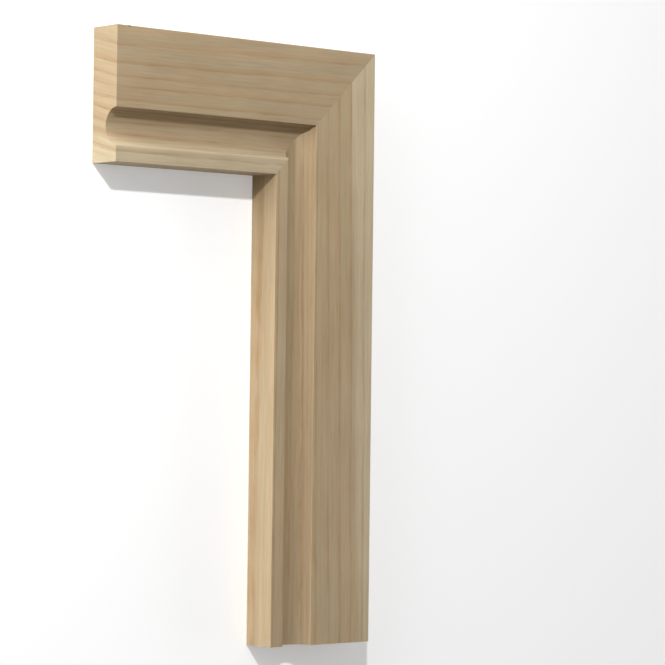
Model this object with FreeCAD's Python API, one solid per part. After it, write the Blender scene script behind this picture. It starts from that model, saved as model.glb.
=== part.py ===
"""Mitred corner of a fluted timber architrave: a leg and a head, sawn from the same moulding.

The corner lies on its flat back with its moulded face up (+Z). The leg runs along Y with its foot
towards -Y, and the head runs along X with its sawn end towards -X. The origin is the centre of
the footprint, on the back. All sizes are in millimetres.
"""

import math
import os

import FreeCAD
import Part

# Section of the moulding
WIDTH = 70.0  # from the outer edge to the inner edge, which is beside the door
THICKNESS = 20.0  # from the back to the face
LIP_WIDTH = 9.0  # from the inner edge to the flute, measured at the face
FLUTE_RADIUS = 9.5  # of the round-nosed cutter that runs the flute
FLUTE_DEPTH = 9.0  # below the face
ARRIS_RADIUS = 1.5  # of the rounded edge between the flute and the lip

# Lengths along the outer edge, from the long point of the mitre
LEG_LENGTH = 322.0
HEAD_LENGTH = 177.0

LEFT = FreeCAD.Vector(-1, 0, 0)
DOWN = FreeCAD.Vector(0, -1, 0)
OUT = FreeCAD.Vector(0, 0, 1)
OUTER_CORNER = FreeCAD.Vector(HEAD_LENGTH / 2, LEG_LENGTH / 2, 0)


def section_face(inward):
    """Section of the moulding, standing on the outer corner.

    inward is the direction from the outer edge to the inner edge.
    """

    def at(across, height):
        return OUTER_CORNER + inward * across + OUT * height

    # The flute is an arc of the cutter's circle, whose chord lies on the face
    half_chord = math.sqrt(FLUTE_RADIUS**2 - (FLUTE_RADIUS - FLUTE_DEPTH) ** 2)
    flute_across = WIDTH - LIP_WIDTH - half_chord
    flute_height = THICKNESS - FLUTE_DEPTH + FLUTE_RADIUS
    flute_centre = at(flute_across, flute_height)
    flute_start = at(flute_across - half_chord, THICKNESS)
    flute_bottom = at(flute_across, THICKNESS - FLUTE_DEPTH)

    # The rounded arris touches the flute's circle from outside, and the face of the lip
    arris_height = THICKNESS - ARRIS_RADIUS
    reach = math.sqrt((FLUTE_RADIUS + ARRIS_RADIUS) ** 2 - (flute_height - arris_height) ** 2)
    arris_centre = at(flute_across + reach, arris_height)
    to_flute = (flute_centre - arris_centre).normalize()
    flute_end = arris_centre + to_flute * ARRIS_RADIUS
    arris_middle = arris_centre + (to_flute + OUT).normalize() * ARRIS_RADIUS
    lip_start = arris_centre + OUT * ARRIS_RADIUS

    outline = [
        Part.LineSegment(at(0, 0), at(0, THICKNESS)),
        Part.LineSegment(at(0, THICKNESS), flute_start),
        Part.Arc(flute_start, flute_bottom, flute_end),
        Part.Arc(flute_end, arris_middle, lip_start),
        Part.LineSegment(lip_start, at(WIDTH, THICKNESS)),
        Part.LineSegment(at(WIDTH, THICKNESS), at(WIDTH, 0)),
        Part.LineSegment(at(WIDTH, 0), at(0, 0)),
    ]
    return Part.Face(Part.Wire([curve.toShape() for curve in outline]))


def mitred_length(inward, along, length):
    """Moulding that runs from the outer corner, mitred there and sawn square at its far end."""
    stock = section_face(inward).extrude(along * length)
    saw_plane = Part.Plane(OUTER_CORNER, along - inward).toShape()
    kept_side = saw_plane.makeHalfSpace(OUTER_CORNER + along)
    return stock.common(kept_side).Solids[0]


PIECES = {
    "architrave_leg": mitred_length(inward=LEFT, along=DOWN, length=LEG_LENGTH),
    "architrave_head": mitred_length(inward=DOWN, along=LEFT, length=HEAD_LENGTH),
}

os.makedirs("parts", exist_ok=True)
for name, solid in PIECES.items():
    solid.exportStep(f"parts/{name}.step")
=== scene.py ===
"""Mitred corner of a fluted timber architrave, lying on its flat back with its moulded face up.

The leg runs along Y and the head along X, both in the same moulding. Meshes are in metres, in the
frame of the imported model. Grain is laid out in millimetres of each length: across from the outer
edge, along from the long point of the mitre, and height above the back.
"""

import bpy
import numpy as np
from mathutils import Matrix, Vector


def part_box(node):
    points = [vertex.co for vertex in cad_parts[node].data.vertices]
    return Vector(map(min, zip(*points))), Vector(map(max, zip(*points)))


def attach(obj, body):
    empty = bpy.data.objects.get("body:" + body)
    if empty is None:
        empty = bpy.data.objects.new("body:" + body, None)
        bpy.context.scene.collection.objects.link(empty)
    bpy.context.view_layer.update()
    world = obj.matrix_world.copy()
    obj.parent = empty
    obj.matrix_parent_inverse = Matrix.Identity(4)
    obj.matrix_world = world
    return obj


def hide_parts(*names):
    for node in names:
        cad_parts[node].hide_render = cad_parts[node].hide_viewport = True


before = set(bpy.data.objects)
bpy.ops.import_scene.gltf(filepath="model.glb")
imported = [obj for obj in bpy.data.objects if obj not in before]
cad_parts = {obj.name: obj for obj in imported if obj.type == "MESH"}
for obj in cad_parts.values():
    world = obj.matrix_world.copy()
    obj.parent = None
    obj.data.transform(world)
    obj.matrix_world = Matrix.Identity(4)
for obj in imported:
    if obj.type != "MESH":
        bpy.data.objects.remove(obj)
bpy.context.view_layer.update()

# Leg
# The upright length of the architrave: pale hardwood, planed to a stock section, with a flute run
# along it by a round-nosed cutter. It is sawn square at the foot, and mitred at the top, where it is
# glued to the head.

leg_low, leg_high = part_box("architrave_leg")
WIDTH = leg_high.x - leg_low.x
THICKNESS = leg_high.z
LEG_LENGTH = leg_high.y - leg_low.y
LONG_POINT = np.array([leg_high.x, leg_high.y, 0.0])  # of the mitre, on the back
UP = np.array([0.0, 0.0, 1.0])

LIP_WIDTH = 0.009  # from the inner edge to the flute, at the face
FLUTE_RADIUS = 0.0095
FLUTE_DEPTH = 0.009
ARRIS_RADIUS = 0.0015  # of the rounded edge between the flute and the lip
EASED_RADIUS = 0.0001  # that a light sanding leaves on the sharp edges along a length
EASED_POINTS = 6
FLUTE_POINTS = 61
ARRIS_POINTS = 13
FLAT_STEP = 0.002  # between columns of the mesh on flat faces
STATIONS = 65  # along a length
SHARP_ANGLE = np.radians(30.0)  # between faces that shade as separate ones

FLUTE_HEIGHT = THICKNESS - FLUTE_DEPTH + FLUTE_RADIUS
FLUTE_ACROSS = WIDTH - LIP_WIDTH - np.sqrt(FLUTE_RADIUS**2 - (FLUTE_HEIGHT - THICKNESS) ** 2)


def arc(across, height, radius, start, end, count):
    """Points on a circle at equal angles from start to end, in degrees, as (across, height) rows."""
    angle = np.radians(np.linspace(start, end, count))
    return np.stack([across + radius * np.cos(angle), height + radius * np.sin(angle)], axis=1)


def flat(start, end):
    """Points at equal steps between two distances across, on the face, without its two ends."""
    count = int(np.ceil((end - start) / FLAT_STEP)) + 1
    across = np.linspace(start, end, count)[1:-1]
    return np.stack([across, np.full_like(across, THICKNESS)], axis=1)


def flute_edge(radius):
    """Circle under the face that touches both the face and the flute's circle, from outside.

    Returns its reach from the middle of the flute, and the slope in degrees of the line that joins
    the two centres, whose length is the sum of the two radii.
    """
    drop = FLUTE_HEIGHT - (THICKNESS - radius)
    between = FLUTE_RADIUS + radius
    return np.sqrt(between**2 - drop**2), np.degrees(np.arcsin(drop / between))


def section_outline():
    """Closed outline of the section as across, height and rounded, which marks the sides on an arc.

    The upper half is straight runs on the face joined by arcs. The lower half has a point on the back
    under each upper one, lifted at both edges by the eased corner's circle.
    """
    reach, slope = flute_edge(EASED_RADIUS)
    arris_reach, arris_slope = flute_edge(ARRIS_RADIUS)
    eased_height = THICKNESS - EASED_RADIUS
    arris_height = THICKNESS - ARRIS_RADIUS
    outer_crest = FLUTE_ACROSS - reach
    inner_crest = FLUTE_ACROSS + arris_reach
    inner_corner = WIDTH - EASED_RADIUS
    flute = arc(FLUTE_ACROSS, FLUTE_HEIGHT, FLUTE_RADIUS, 180 + slope, 360 - arris_slope, FLUTE_POINTS)
    arris = arc(inner_crest, arris_height, ARRIS_RADIUS, 180 - arris_slope, 90, ARRIS_POINTS)
    runs = [
        (True, arc(EASED_RADIUS, eased_height, EASED_RADIUS, 180, 90, EASED_POINTS)),
        (False, flat(EASED_RADIUS, outer_crest)),
        (True, arc(outer_crest, eased_height, EASED_RADIUS, 90, slope, EASED_POINTS)),
        (True, flute[1:]),
        (True, arris[1:]),
        (False, flat(inner_crest, inner_corner)),
        (True, arc(inner_corner, eased_height, EASED_RADIUS, 90, 0, EASED_POINTS)),
    ]
    upper = np.concatenate([points for _, points in runs])
    on_arc = np.concatenate([np.full(len(points), bent) for bent, points in runs])
    from_edge = np.clip(np.minimum(upper[:, 0], WIDTH - upper[:, 0]), 0.0, EASED_RADIUS)
    lift = EASED_RADIUS - np.sqrt(EASED_RADIUS**2 - (EASED_RADIUS - from_edge) ** 2)
    across = np.concatenate([upper[:, 0], upper[::-1, 0]])
    height = np.concatenate([upper[:, 1], lift[::-1]])
    bend = np.concatenate([on_arc, (lift > 0.0)[::-1]])
    upright = across == np.roll(across, -1)
    rounded = bend & np.roll(bend, -1) & ~upright
    return across, height, rounded


def moulded_length(name, inward, along, length):
    """One length of moulding from the long point of the mitre, as an object.

    The closed section is carried along the run. A point of the section starts as far along as it lies
    across, which is the mitre at 45 degrees, and every point ends at the square cut. The two cuts are
    strips of faces between the upper and the lower half, and the attribute sawn is 1 on them.
    """
    across, height, rounded = section_outline()
    share = np.linspace(0.0, 1.0, STATIONS)[:, None]
    run = across + (length - across) * share
    section = across[:, None] * inward + height[:, None] * UP
    points = LONG_POINT + section + run[..., None] * along

    count = len(across)
    here = np.arange(count)
    after = np.roll(here, -1)
    row = count * np.arange(STATIONS - 1)[:, None]
    walls = np.stack([row + here, row + after, row + count + after, row + count + here], axis=-1)
    column = np.arange(count // 2 - 1)
    under = count - 1 - column
    mitre = np.stack([column, under, under - 1, column + 1], axis=-1)
    square_cut = mitre[:, ::-1] + count * (STATIONS - 1)
    faces = np.concatenate([walls.reshape(-1, 4), mitre, square_cut])
    # A run of the other hand, the head's, is wound the other way, so that its faces point outwards
    left_handed = np.cross(inward, along) @ UP < 0.0
    if left_handed:
        faces = faces[:, ::-1]
    smooth = np.concatenate([np.tile(rounded, STATIONS - 1), np.zeros(2 * len(mitre), bool)])
    sawn = np.concatenate([np.zeros(walls.size // 4), np.ones(2 * len(mitre))])

    mesh = bpy.data.meshes.new(name)
    mesh.from_pydata(points.reshape(-1, 3).tolist(), [], faces.tolist())
    mesh.polygons.foreach_set("use_smooth", smooth)
    mesh.set_sharp_from_angle(angle=SHARP_ANGLE)
    mesh.attributes.new("sawn", "FLOAT", "FACE").data.foreach_set("value", sawn)
    mesh.update()
    piece = bpy.data.objects.new(name, mesh)
    bpy.context.scene.collection.objects.link(piece)
    return piece


class Field:
    """A number, colour or shader that varies from place to place: one socket in a tree of nodes.

    Arithmetic on a field adds Math nodes to its tree, and add makes any other node.
    """

    def __init__(self, tree, socket=None):
        self.tree = tree
        self.socket = socket

    def add(self, kind, settings, inputs, output=0):
        """New node: its settings first, then its sockets by name or number, as values or fields."""
        node = self.tree.nodes.new(kind)
        for name, value in settings.items():
            if name == "stops":
                ramp = node.color_ramp.elements
                while len(ramp) < len(value):
                    ramp.new(1.0)
                for stop, (place, level) in zip(ramp, value):
                    stop.position = place
                    stop.color = (level, level, level, 1.0)
            else:
                setattr(node, name, value)
        for key, value in inputs.items():
            if isinstance(value, Field):
                self.tree.links.new(value.socket, node.inputs[key])
            else:
                node.inputs[key].default_value = value
        if node.outputs:
            return Field(self.tree, node.outputs[output])

    def math(self, operation, first, second):
        """A Math node's operation on two values or fields."""
        return self.add("ShaderNodeMath", {"operation": operation}, {0: first, 1: second})

    def __add__(self, other):
        return self.math("ADD", self, other)

    def __sub__(self, other):
        return self.math("SUBTRACT", self, other)

    def __rsub__(self, other):
        return self.math("SUBTRACT", other, self)

    def __mul__(self, other):
        return self.math("MULTIPLY", self, other)

    def __truediv__(self, other):
        return self.math("DIVIDE", self, other)

    def __rtruediv__(self, other):
        return self.math("DIVIDE", other, self)

    __radd__ = __add__
    __rmul__ = __mul__

    def choose(self, pair):
        """The first of two numbers where this field is 0, the second where it is 1."""
        first, second = pair
        return first + self * (second - first)

    def mixed(self, low, high):
        """Colour that goes from low to high as this field goes from 0 to 1."""
        inputs = {"Factor": self, 6: low, 7: high}
        return self.add("ShaderNodeMix", {"data_type": "RGBA"}, inputs, output=2)

    def between(self, start, end):
        """0 up to start, 1 from end on, and a smooth rise between them."""
        inputs = {"Value": self, "From Min": start, "From Max": end}
        return self.add("ShaderNodeMapRange", {"interpolation_type": "SMOOTHSTEP"}, inputs)

    def patches(self, sizes, detail, seed):
        """Noise of this place, centred on 0, with patches of these sizes in millimetres."""
        scale = tuple(1.0 / size for size in sizes)
        inputs = {0: self, 1: scale, 2: (seed, seed, seed)}
        place = self.add("ShaderNodeVectorMath", {"operation": "MULTIPLY_ADD"}, inputs)
        return self.add("ShaderNodeTexNoise", {}, {"Vector": place, "Scale": 1.0, "Detail": detail}) - 0.5

    def spot(self, centre, sizes, core=0.3):
        """1 up to a core round a centre, falling smoothly to 0 where the offset over sizes is 1 long."""
        offset = self.add("ShaderNodeVectorMath", {"operation": "SUBTRACT"}, {0: self, 1: centre})
        scaled = self.add("ShaderNodeVectorMath", {"operation": "DIVIDE"}, {0: offset, 1: sizes})
        away = self.add("ShaderNodeVectorMath", {"operation": "LENGTH"}, {0: scaled}, output="Value")
        return away.between(1.0, core)


TAN_WOOD = (0.427, 0.311, 0.184, 1.0)
OLIVE_WOOD = (0.391, 0.308, 0.196, 1.0)
SAPWOOD = (0.488, 0.400, 0.266, 1.0)
GROWTH_LINE = (0.300, 0.178, 0.078, 1.0)
MILLIMETRES = 1000.0
FACE = THICKNESS * MILLIMETRES

# Noise in the timber: patches across, along and down in millimetres, then detail and seed
SWAY = ((60.0, 90.0, 60.0), 1.0, 3.1)
RIPPLE = ((10.0, 50.0, 16.0), 2.0, 7.7)
FIBRE = ((0.8, 14.0, 0.8), 4.0, 2.6)
FADING = ((9.0, 35.0, 25.0), 2.0, 1.9)
STREAK = ((1.1, 70.0, 30.0), 3.0, 5.3)
EDGE_STREAK = ((40.0, 70.0, 1.1), 3.0, 4.4)
BAND = ((4.5, 160.0, 40.0), 2.0, 9.2)

# Rings, in millimetres across at the face
RING_SPAN = 80.0
RING_SLOPE = 0.27  # that a ring leans across for each millimetre down from the face
SWAY_BEND = 1.2  # of a ring, over the noise's range
RIPPLE_BEND = 0.9
SAP_WANDER = 8.0  # of the sapwood's edge

# Pairs of a value on planed faces and one on sawn ends
LATE_GROWTH = (7.5, 3.5)  # power that keeps the darker wood to the last part of a ring
TORN = (2.0, 0.6)  # millimetres that fibres tear the line of a ring by
LINE_COVER = (1.0, 0.85)
LEAST_SAPWOOD = (0.0, 0.15)
STREAK_SHADE = (0.29, 0.45)
EDGE_STREAK_SHADE = (0.42, 0.0)
FIBRE_SHADE = (0.28, 0.22)

# Colour between the rings
OLIVE_SHARE = 0.58  # of the heartwood's two colours
OLIVE_LOSS = 0.16  # of that share at a ring
OLIVE_SPREAD = 2.3  # of that share between bands

# Lines of the rings, streaks and marks
LINE_RANGE = (-0.25, 0.25)  # noise where a line is faint, and where it is full
FAINT_LINE = 0.2
LINE_GAIN = 0.72  # from a faint line to a full one
LINE_TINT = 0.09  # of the lines' colour all through the wood
SHADE_TINT = 1.2  # of the shading that shows as the lines' colour
SHADE_LEVEL = 0.5  # of the shading that shows as level
RING_LOSS = 0.025  # of level at a ring
SAWN_LOSS = 0.04
NICK_LOSS = 0.7

# Planed surface
ROUGHNESS = 0.70
FIBRE_ROUGHNESS = 0.12
LINE_SMOOTHNESS = 0.05
GLOSS = 0.2
RELIEF_DEPTH = 0.00008
RELIEF_STRENGTH = 0.25


def ring_stops(rings, paling):
    """Stops of a ramp over RING_SPAN that is 0 at paling from each ring and highest at the ring.

    The level at a ring is the root of its strength that the power of the late growth takes back.
    """
    stops = [(0.0, 0.0)]
    for at, strength in rings:
        stops += sorted([(at, strength ** (1.0 / LATE_GROWTH[0])), (at + paling, 0.0)])
    stops += [(RING_SPAN, 0.0)]
    return [(at / RING_SPAN, level) for at, level in stops]


def timber(name, lay, rings, paling, drift, sapwood, tone, nicks=()):
    """Planed timber as a solid, so that its rings run through every face of a length.

    A ring is where across, leaned by the depth and bent by slow noise, reaches one of the given
    distances. Towards a ring the wood darkens, slowly at first, and within paling of it, on the side
    that the sign gives, the wood is pale again. Streaks and fibres shade the wood, partly towards the
    colour of the rings. Sawn ends show the rings broader and the fibres less.

    lay is the mapping that gives across, along and height on the length. rings are pairs of distance
    and strength. drift is how far the rings move for each millimetre along, the distance across where
    they move most, how far from there they stop, and the least share of the move. sapwood is the ring
    distance where the pale wood starts, the one where it is all pale, and how far both move for each
    millimetre along. tone is the level of the whole length, and nicks are dark marks, each given by
    its centre and its sizes.
    """
    material = bpy.data.materials.new(name)
    material.use_nodes = True
    material.node_tree.nodes.clear()
    start = Field(material.node_tree)
    position = start.add("ShaderNodeTexCoord", {}, {}, output="Object")
    grain = start.add("ShaderNodeMapping", {}, {"Vector": position, **lay})
    across = start.add("ShaderNodeSeparateXYZ", {}, {0: grain}, output=0)
    along = start.add("ShaderNodeSeparateXYZ", {}, {0: grain}, output=1)
    height = start.add("ShaderNodeSeparateXYZ", {}, {0: grain}, output=2)
    sawn = start.add("ShaderNodeAttribute", {"attribute_name": "sawn"}, {}, output="Fac")

    rate, middle, reach, least = drift
    from_middle = (across - middle) / reach
    moved = along * rate * start.math("MAXIMUM", 1.0 - from_middle * from_middle, least)
    leaned = across + (FACE - height) * RING_SLOPE
    ring = leaned + moved + grain.patches(*SWAY) * SWAY_BEND + grain.patches(*RIPPLE) * RIPPLE_BEND
    fibre = grain.patches(*FIBRE)
    torn = ring + fibre * sawn.choose(TORN)
    rise = start.add("ShaderNodeValToRGB", {"stops": ring_stops(rings, paling)}, {0: torn / RING_SPAN})
    line = start.math("POWER", rise, sawn.choose(LATE_GROWTH))

    in_ring = start.add("ShaderNodeCombineXYZ", {}, {0: ring, 1: along, 2: height})
    streak = in_ring.patches(*STREAK)
    edge_streak = in_ring.patches(*EDGE_STREAK)
    band = in_ring.patches(*BAND)
    fullness = in_ring.patches(*FADING).between(*LINE_RANGE)

    sap_start, sap_end, sap_drift = sapwood
    towards_sap = ring + along * sap_drift + band * SAP_WANDER
    pale = start.math("MAXIMUM", towards_sap.between(sap_start, sap_end), sawn.choose(LEAST_SAPWOOD))
    heart = (OLIVE_SHARE - rise * OLIVE_LOSS + band * OLIVE_SPREAD).mixed(TAN_WOOD, OLIVE_WOOD)
    body = pale.mixed(heart, SAPWOOD)

    streaks = streak * sawn.choose(STREAK_SHADE) + edge_streak * sawn.choose(EDGE_STREAK_SHADE)
    shade = streaks + fibre * sawn.choose(FIBRE_SHADE)
    cover = (FAINT_LINE + fullness * LINE_GAIN) * sawn.choose(LINE_COVER)
    lined = (LINE_TINT + line * cover - shade * SHADE_TINT).mixed(body, GROWTH_LINE)
    level = tone + shade * SHADE_LEVEL - rise * RING_LOSS - sawn * SAWN_LOSS
    for centre, sizes in nicks:
        level = level * (1.0 - grain.spot(centre, sizes) * NICK_LOSS)
    colour = start.add("ShaderNodeVectorMath", {"operation": "SCALE"}, {0: lined, "Scale": level})

    relief = {"Height": fibre + streak, "Strength": RELIEF_STRENGTH, "Distance": RELIEF_DEPTH}
    finish = {
        "Base Color": colour,
        "Roughness": ROUGHNESS + fibre * FIBRE_ROUGHNESS - line * LINE_SMOOTHNESS,
        "Specular IOR Level": GLOSS,
        "Normal": start.add("ShaderNodeBump", {}, relief),
    }
    surface = start.add("ShaderNodeBsdfPrincipled", {}, finish)
    start.add("ShaderNodeOutputMaterial", {}, {"Surface": surface})
    return material


LEG_LAY = {
    "Location": (LONG_POINT[0] * MILLIMETRES, LONG_POINT[1] * MILLIMETRES, 0.0),
    "Scale": (-MILLIMETRES, -MILLIMETRES, MILLIMETRES),
}
LEG_RINGS = [
    (6.8, 0.7),
    (17.1, 0.9),
    (25.6, 0.9),
    (33.6, 0.85),
    (41.5, 0.9),
    (46.9, 0.9),
    (51.8, 0.7),
    (60.2, 0.6),
    (67.1, 1.4),
    (72.3, 1.0),
]

leg = moulded_length("leg", np.array([-1.0, 0.0, 0.0]), np.array([0.0, -1.0, 0.0]), LEG_LENGTH)
leg.data.materials.append(
    timber(
        "leg_timber",
        LEG_LAY,
        LEG_RINGS,
        paling=-1.4,
        drift=(0.0148, 22.5, 25.0, -0.35),
        sapwood=(19.8, 14.4, 0.021),
        tone=1.085,
    )
)
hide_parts("architrave_leg")
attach(leg, "root")

# Head
# The horizontal length: the same hardwood and the same moulding, sawn square at its free end. Its
# grain runs along X, so it meets the leg's grain at a right angle in the glued mitre.

head_low, head_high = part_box("architrave_head")
HEAD_LENGTH = head_high.x - head_low.x
HEAD_LAY = {
    "Location": (LONG_POINT[1] * MILLIMETRES, LONG_POINT[0] * MILLIMETRES, 0.0),
    "Rotation": (0.0, 0.0, np.pi / 2),
    "Scale": (-MILLIMETRES, MILLIMETRES, MILLIMETRES),
}
HEAD_RINGS = [
    (6.7, 0.8),
    (17.1, 0.75),
    (24.6, 0.9),
    (30.7, 0.9),
    (38.7, 0.7),
    (45.0, 0.7),
    (51.2, 0.7),
    (57.5, 0.9),
    (64.9, 0.9),
]
HEAD_NICKS = [((0.3, 169.2, FACE), (0.6, 1.2, 0.9))]

head = moulded_length("head", np.array([0.0, -1.0, 0.0]), np.array([-1.0, 0.0, 0.0]), HEAD_LENGTH)
head.data.materials.append(
    timber(
        "head_timber",
        HEAD_LAY,
        HEAD_RINGS,
        paling=1.4,
        drift=(-0.022, 0.0, 38.0, 0.0),
        sapwood=(57.5, 63.0, 0.0),
        tone=1.0,
        nicks=HEAD_NICKS,
    )
)
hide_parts("architrave_head")
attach(head, "root")

# Studio floor
# A matt white sheet, far wider than the corner, which lies on it with its flat back down. The sheet
# shows white to the camera and keeps the shadow.

FLOOR_REACH = 20.0
FLOOR_DROP = 0.0001  # that keeps it clear of the backs
FLOOR_WHITE = (0.9, 0.9, 0.9, 1.0)
FLOOR_GLOW = 0.27  # that the camera sees besides, so that lit floor is white

corners = np.array([[-1, -1, 0], [1, -1, 0], [1, 1, 0], [-1, 1, 0]]) * FLOOR_REACH
corners = corners - UP * FLOOR_DROP
sheet = bpy.data.meshes.new("floor")
sheet.from_pydata(corners.tolist(), [], [(0, 1, 2, 3)])
floor = bpy.data.objects.new("floor", sheet)
bpy.context.scene.collection.objects.link(floor)
white = bpy.data.materials.new("floor_white")
white.use_nodes = True
white.node_tree.nodes.clear()
floor_nodes = Field(white.node_tree)


def seen_rays(nodes):
    """1 for rays from the camera, a mirror or glass, and 0 for rays that carry light on."""
    camera_ray = nodes.add("ShaderNodeLightPath", {}, {}, output="Is Camera Ray")
    glossy_ray = nodes.add("ShaderNodeLightPath", {}, {}, output="Is Glossy Ray")
    glass_ray = nodes.add("ShaderNodeLightPath", {}, {}, output="Is Transmission Ray")
    return nodes.math("MINIMUM", camera_ray + glossy_ray + glass_ray, 1.0)


paint = floor_nodes.add("ShaderNodeBsdfDiffuse", {}, {"Color": FLOOR_WHITE})
glow = floor_nodes.add("ShaderNodeEmission", {}, {"Strength": seen_rays(floor_nodes) * FLOOR_GLOW})
both = floor_nodes.add("ShaderNodeAddShader", {}, {0: paint, 1: glow})
floor_nodes.add("ShaderNodeOutputMaterial", {}, {"Surface": both})
sheet.materials.append(white)

# Light
# A small hard key lamp high on the upper left. On the same side a wide soft box stands on the floor,
# with a bright strip along its foot. A narrower box fills from the right, and weak white light comes
# evenly from all round.

KEY_FROM = Vector((-0.54, 0.437, 0.74))
KEY_DISTANCE = 1.0
KEY_POWER = 29.0
KEY_RADIUS = 0.021
LAMP_DISTANCE = 3.0
BOX_AZIMUTH = np.radians(140.0)
BOX_WIDTH = 5.0
BOX_HEIGHT = 1.5
BOX_POWER = 75.0
STRIP_HEIGHT = 0.1
STRIP_POWER = 63.0
FILL_AZIMUTH = 0.0
FILL_WIDTH = 2.4
FILL_POWER = 32.2
PLAIN_WHITE = (1.0, 1.0, 1.0, 1.0)
SHOWN_STRENGTH = 1.0
EVEN_STRENGTH = 0.214

head_middle = (head_low + head_high) / 2
key = bpy.data.objects.new("key", bpy.data.lights.new("key", "POINT"))
key.data.energy = KEY_POWER
key.data.shadow_soft_size = KEY_RADIUS
key.location = head_middle + KEY_FROM.normalized() * KEY_DISTANCE


def standing_lamp(name, azimuth, width, height, power):
    """Upright rectangle of light that stands on the floor, at an angle from X, and faces the corner."""
    lamp = bpy.data.objects.new(name, bpy.data.lights.new(name, "AREA"))
    lamp.data.shape = "RECTANGLE"
    lamp.data.size = width
    lamp.data.size_y = height
    lamp.data.energy = power
    away = Vector((np.cos(azimuth), np.sin(azimuth), 0.0))
    lamp.location = away * LAMP_DISTANCE + Vector((0.0, 0.0, height / 2))
    lamp.rotation_euler = away.to_track_quat("Z", "Y").to_euler()
    return lamp


soft_box = standing_lamp("soft_box", BOX_AZIMUTH, BOX_WIDTH, BOX_HEIGHT, BOX_POWER)
strip = standing_lamp("strip", BOX_AZIMUTH, BOX_WIDTH, STRIP_HEIGHT, STRIP_POWER)
fill = standing_lamp("fill", FILL_AZIMUTH, FILL_WIDTH, BOX_HEIGHT, FILL_POWER)
for lamp in (key, soft_box, strip, fill):
    lamp.visible_camera = False
    bpy.context.scene.collection.objects.link(lamp)

surround = bpy.data.worlds.new("surround")
surround.use_nodes = True
surround.node_tree.nodes.clear()
around = Field(surround.node_tree)
shown = around.add("ShaderNodeBackground", {}, {"Color": PLAIN_WHITE, "Strength": SHOWN_STRENGTH})
lighting = around.add("ShaderNodeBackground", {}, {"Color": PLAIN_WHITE, "Strength": EVEN_STRENGTH})
backdrop = around.add("ShaderNodeMixShader", {}, {0: seen_rays(around), 1: lighting, 2: shown})
around.add("ShaderNodeOutputWorld", {}, {"Surface": backdrop})
bpy.context.scene.world = surround

# Camera
# A long lens above and to the left of the corner. In the picture the leg stands upright, with its foot
# at the bottom, and the head reaches to the left, towards the lens.

CAMERA_PLACE = Vector((-0.96703, -0.02826, 1.18733))
CAMERA_VIEW = Vector((0.66027, 0.02294, -0.75068))
CAMERA_UP = Vector((-0.02425, 0.99966, 0.00922))
CAMERA_LENS = 155.34
CAMERA_SENSOR = 36.0

camera = bpy.data.objects.new("camera", bpy.data.cameras.new("camera"))
camera.data.sensor_width = CAMERA_SENSOR
camera.data.lens = CAMERA_LENS
right = CAMERA_VIEW.cross(CAMERA_UP).normalized()
upright = right.cross(CAMERA_VIEW).normalized()
facing = Matrix((right, upright, -CAMERA_VIEW.normalized())).transposed()
camera.matrix_world = Matrix.Translation(CAMERA_PLACE) @ facing.to_4x4()
bpy.context.scene.collection.objects.link(camera)
bpy.context.scene.camera = camera
bpy.context.scene.view_settings.view_transform = "Standard"
